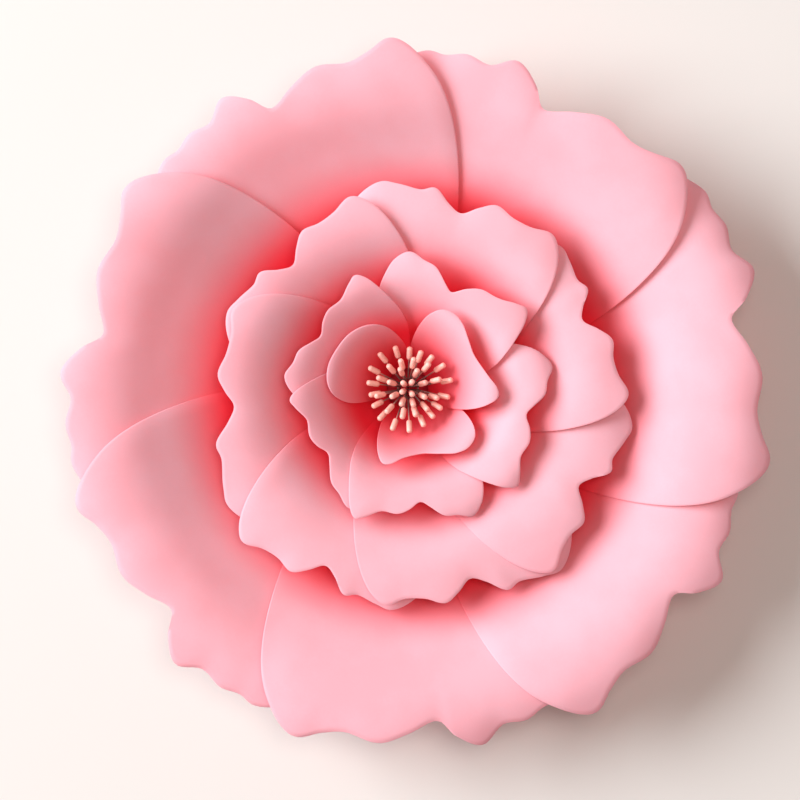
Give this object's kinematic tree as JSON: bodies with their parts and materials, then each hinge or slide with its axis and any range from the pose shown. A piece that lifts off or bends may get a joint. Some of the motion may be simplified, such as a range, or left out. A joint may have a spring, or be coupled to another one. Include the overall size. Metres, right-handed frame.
{
  "type": "giant paper flower",
  "caption": "Large pink paper flower with rings of overlapping ruffled card petals, rolled-back rims and a bunch of stamens at the centre.",
  "frame": {"origin": "centre of the base disc's back face, the face that goes against a wall or lies on a table", "axes": "+Z out of the flower's face towards the viewer, +Y up when it hangs on a wall, +X to the viewer's right"},
  "size_m": [0.296, 0.2969, 0.0494],
  "materials": {
    "petal_card": "matte",
    "base_card": "matte",
    "stamen_paste": "satin",
    "wire": "satin"
  },
  "bodies": {
    "root": {"base_disc": "base_card", "outer_petal_1": "petal_card", "outer_petal_2": "petal_card", "outer_petal_3": "petal_card", "outer_petal_4": "petal_card", "outer_petal_5": "petal_card", "outer_petal_6": "petal_card", "outer_petal_7": "petal_card", "second_petal_1": "petal_card", "second_petal_2": "petal_card", "second_petal_3": "petal_card", "second_petal_4": "petal_card", "second_petal_5": "petal_card", "second_petal_6": "petal_card", "second_petal_7": "petal_card", "third_petal_1": "petal_card", "third_petal_2": "petal_card", "third_petal_3": "petal_card", "third_petal_4": "petal_card", "third_petal_5": "petal_card", "inner_petal_1": "petal_card", "inner_petal_2": "petal_card", "round_inner_petal_1": "petal_card", "stamen_01": "stamen_paste", "stamen_02": "stamen_paste", "stamen_03": "stamen_paste", "stamen_04": "stamen_paste", "stamen_05": "stamen_paste", "stamen_06": "stamen_paste", "stamen_07": "stamen_paste", "stamen_08": "stamen_paste", "stamen_09": "stamen_paste", "stamen_10": "stamen_paste", "stamen_11": "stamen_paste", "stamen_12": "stamen_paste", "stamen_13": "stamen_paste", "stamen_14": "stamen_paste", "stamen_15": "stamen_paste", "stamen_16": "stamen_paste", "stamen_17": "stamen_paste", "stamen_18": "stamen_paste", "stamen_19": "stamen_paste", "stamen_20": "stamen_paste", "stamen_21": "stamen_paste", "binding_wire": "wire"}
  },
  "joints": []
}
